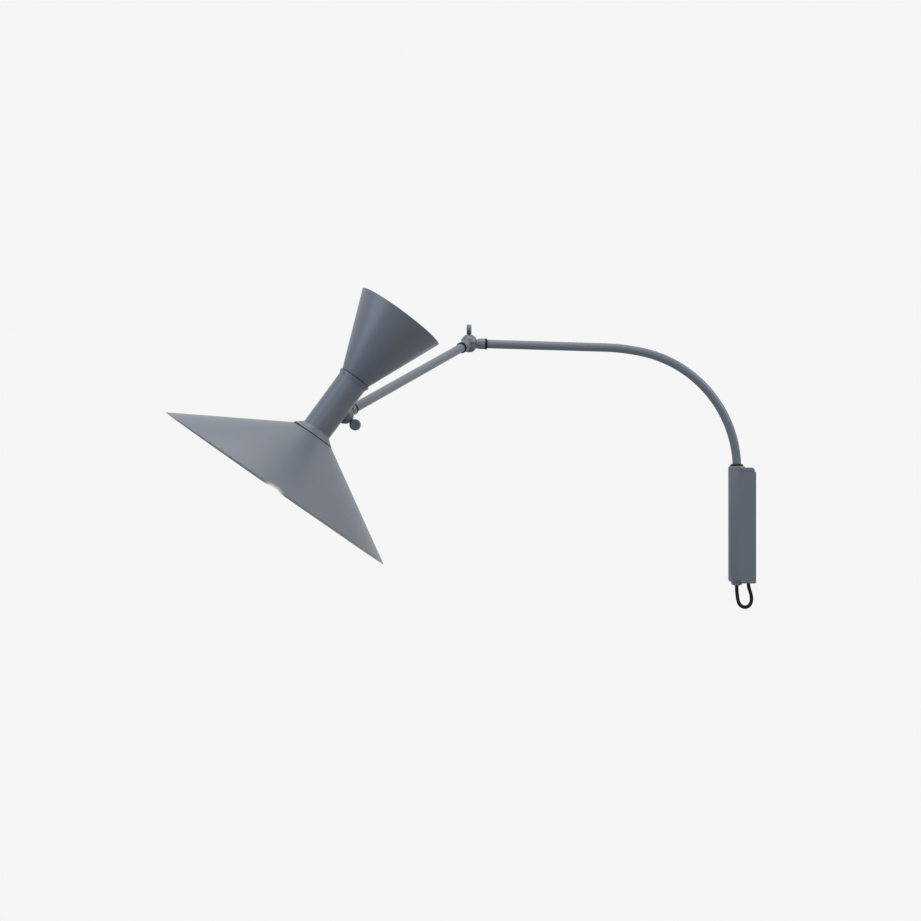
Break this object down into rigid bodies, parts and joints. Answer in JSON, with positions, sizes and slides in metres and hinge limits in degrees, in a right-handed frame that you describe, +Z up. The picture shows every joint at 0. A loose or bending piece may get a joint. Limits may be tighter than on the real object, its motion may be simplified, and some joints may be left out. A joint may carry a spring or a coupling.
{
  "type": "articulating wall lamp",
  "caption": "Wall lamp on a swinging bent-tube arm with a folding second arm and a tilting head of one wide and one narrow cone shade.",
  "frame": {"origin": "centre of the bracket's wall face, at its mid height", "axes": "+X into the wall, the lamp reaches out along -X; +Z up; the lower arm is folded towards -Y"},
  "size_m": [0.7589, 0.5413, 0.4127],
  "materials": {
    "paint": "satin blue-grey paint",
    "zinc_steel": "bright zinc-plated steel",
    "black_polymer": "black low-friction polymer",
    "black_rubber": "black rubber",
    "cable_sheath": "black cable sheath",
    "holder_plastic": "white heat-proof moulding",
    "terminal_plastic": "natural nylon",
    "brass": "bright brass",
    "bulb_cap": "bright rolled thread",
    "opal_globe": "opal white, lit warm"
  },
  "bodies": {
    "wall_bracket": {"wall_plate": "zinc_steel", "bracket_body": "paint", "top_cap": "paint", "bottom_cap": "paint", "cap_screws": "zinc_steel", "top_bush": "black_polymer", "bottom_bush": "black_polymer", "thrust_washer": "black_polymer", "bottom_plug": "paint", "cable_grommet": "black_rubber", "cable_loop": "cable_sheath", "barrel_lead": "cable_sheath", "box_lead": "cable_sheath", "terminal_block": "terminal_plastic", "terminal_screws": "brass"},
    "upper_arm": {"upper_arm_tube": "paint", "retaining_ring": "zinc_steel", "upper_arm_cable": "cable_sheath", "elbow_lower_half": "paint", "elbow_washer": "black_polymer", "upper_arm_ring": "black_rubber", "upper_grub_screw": "zinc_steel"},
    "elbow_screw": {"elbow_screw": "paint"},
    "lower_arm": {"elbow_upper_half": "paint", "lower_arm_tube": "paint", "lower_arm_cable": "cable_sheath", "lower_arm_ring": "black_rubber", "lower_arm_end_ring": "black_rubber", "swivel_pin": "zinc_steel"},
    "head_swivel": {"swivel_half": "paint", "swivel_grub_screw": "zinc_steel"},
    "head": {"head_half": "paint", "head_washer": "black_polymer", "saddle_screws": "zinc_steel", "neck_housing": "paint", "lower_gasket": "black_rubber", "upper_gasket": "black_rubber", "lower_shade": "paint", "upper_shade": "paint", "lower_lampholder": "holder_plastic", "upper_lampholder": "holder_plastic", "lower_clamp_ring": "holder_plastic", "upper_clamp_ring": "holder_plastic", "lower_bulb_cap": "bulb_cap", "lower_bulb_globe": "opal_globe", "upper_bulb_cap": "bulb_cap", "upper_bulb_globe": "opal_globe", "lampholder_bridge": "zinc_steel", "threaded_tube": "zinc_steel", "bridge_nuts": "zinc_steel"},
    "head_screw": {"head_screw": "paint"}
  },
  "joints": [
    {"name": "arm_swing", "type": "hinge", "parent": "wall_bracket", "child": "upper_arm", "pos_m": [-0.0252, 0, 0.08], "axis": [0, 0, 1], "range_deg": [-85, 85]},
    {"name": "elbow_swing", "type": "hinge", "parent": "upper_arm", "child": "lower_arm", "pos_m": [-0.3948, 0, 0.24929], "axis": [0, 0, 1], "range_deg": [-155, 25]},
    {"name": "elbow_screw_turn", "type": "hinge", "parent": "upper_arm", "child": "elbow_screw", "pos_m": [-0.3948, 0, 0.24929], "axis": [0, 0, 1], "range_deg": [0, 360]},
    {"name": "head_roll", "type": "hinge", "parent": "lower_arm", "child": "head_swivel", "pos_m": [-0.54843, -0.33096, 0.14425], "axis": [-0.4046, -0.8716, -0.2766], "range_deg": [-150, 150]},
    {"name": "head_tilt", "type": "hinge", "parent": "head_swivel", "child": "head", "pos_m": [-0.54843, -0.33096, 0.14425], "axis": [0.7194, -0.1166, -0.6847], "range_deg": [-45, 68]},
    {"name": "head_screw_turn", "type": "hinge", "parent": "head", "child": "head_screw", "pos_m": [-0.54843, -0.33096, 0.14425], "axis": [0.7194, -0.1166, -0.6847], "range_deg": [0, 360]}
  ]
}
